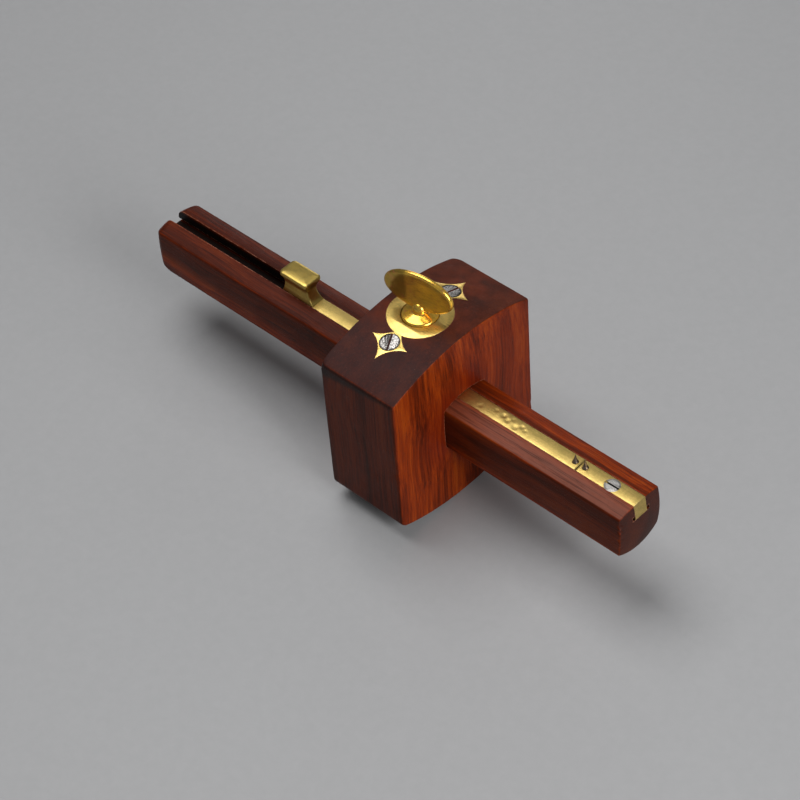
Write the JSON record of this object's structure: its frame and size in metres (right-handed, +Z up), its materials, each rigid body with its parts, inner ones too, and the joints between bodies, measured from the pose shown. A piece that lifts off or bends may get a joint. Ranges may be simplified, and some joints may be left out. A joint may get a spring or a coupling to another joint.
{
  "type": "mortise marking gauge",
  "caption": "Hardwood mortise marking gauge: a head that slides along a stem with a brass slide bar, scribing pins, a thumb knob and a brass thumbscrew that locks it.",
  "frame": {"origin": "half way along the stem and half way across the head, at the level that the head stands on", "axes": "+X along the stem towards the scribing pins, +Y across the stem, +Z up"},
  "size_m": [0.2122, 0.065, 0.0862],
  "materials": {
    "head_rosewood": "polished rosewood, grain upright, dark stained arched top",
    "stem_rosewood": "polished rosewood, grain along the stem",
    "plate_brass": "worn satin brass with tarnish near the boss",
    "bar_brass": "brass with fine lengthwise file lines and small dents",
    "knob_brass": "hand-worn satin brass",
    "thumb_brass": "polished brass with reddish brazing traces",
    "inner_brass": "dull brass",
    "dark_steel": "dark worn steel",
    "bright_steel": "bright filed steel",
    "pin_steel": "dark hardened steel"
  },
  "bodies": {
    "head": {"head_block": "head_rosewood", "head_plate": "plate_brass", "plate_screw_near": "dark_steel", "plate_screw_far": "dark_steel", "clamp_bush": "inner_brass"},
    "stem": {"stem_beam": "stem_rosewood", "end_plate": "bar_brass", "end_plate_screw": "bright_steel", "fixed_pin": "pin_steel"},
    "slide": {"slide_bar": "bar_brass", "slide_knob": "knob_brass", "knob_rivets": "inner_brass", "moving_pin": "pin_steel"},
    "pad": {"pressure_pad": "inner_brass"},
    "thumbscrew": {"clamp_screw": "thumb_brass", "thumb_wing": "thumb_brass"}
  },
  "joints": [
    {"name": "stem_slide", "type": "slide", "parent": "head", "child": "stem", "axis": [1, 0, 0], "range_m": [-0.024, 0.033]},
    {"name": "bar_slide", "type": "slide", "parent": "stem", "child": "slide", "axis": [1, 0, 0], "range_m": [-0.021, 0]},
    {"name": "pad_lift", "type": "slide", "parent": "head", "child": "pad", "axis": [0, 0, 1], "range_m": [0, 0.00127]},
    {"name": "thumb_turn", "type": "hinge", "parent": "pad", "child": "thumbscrew", "pos_m": [0.01445, 0, 0.078], "axis": [0, 0, 1], "range_deg": [0, 360]}
  ],
  "couplings": [
    {"joint": "thumb_turn", "follows": "pad_lift", "rad_per_m": 4947.3}
  ]
}
